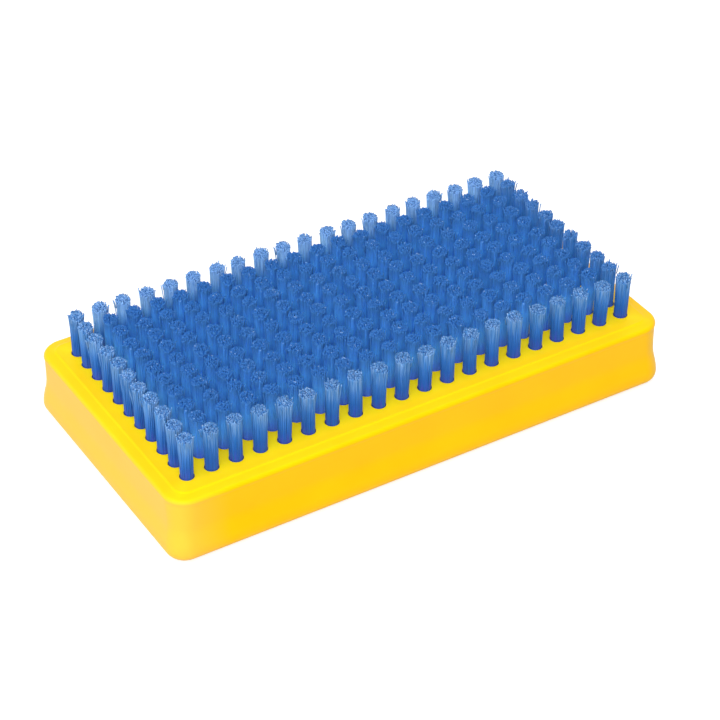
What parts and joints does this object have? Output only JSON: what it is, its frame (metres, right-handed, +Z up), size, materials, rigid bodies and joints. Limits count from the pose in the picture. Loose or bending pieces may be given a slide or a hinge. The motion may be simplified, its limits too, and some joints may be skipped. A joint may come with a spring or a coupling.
{
  "type": "polishing brush",
  "caption": "Hand polishing brush: a rounded rectangular grip block with drawn-in sides and a drilled face filled with a grid of short stiff bristle tufts.",
  "frame": {"origin": "centre of the flat palm side, on the surface the brush lies on", "axes": "+X along the length, +Y along the width, +Z up from the palm side to the bristle tips"},
  "size_m": [0.1222, 0.0648, 0.0268],
  "materials": {
    "yellow_plastic": "satin moulded plastic",
    "blue_nylon": "stiff nylon filament, translucent at the tips"
  },
  "bodies": {
    "root": {"block": "yellow_plastic", "tuft_row_01": "blue_nylon", "tuft_row_02": "blue_nylon", "tuft_row_03": "blue_nylon", "tuft_row_04": "blue_nylon", "tuft_row_05": "blue_nylon", "tuft_row_06": "blue_nylon", "tuft_row_07": "blue_nylon", "tuft_row_08": "blue_nylon", "tuft_row_09": "blue_nylon", "tuft_row_10": "blue_nylon", "tuft_row_11": "blue_nylon", "tuft_row_12": "blue_nylon", "tuft_row_13": "blue_nylon", "tuft_row_14": "blue_nylon", "tuft_row_15": "blue_nylon", "tuft_row_16": "blue_nylon", "tuft_row_17": "blue_nylon", "tuft_row_18": "blue_nylon", "tuft_row_19": "blue_nylon", "tuft_row_20": "blue_nylon"}
  },
  "joints": []
}
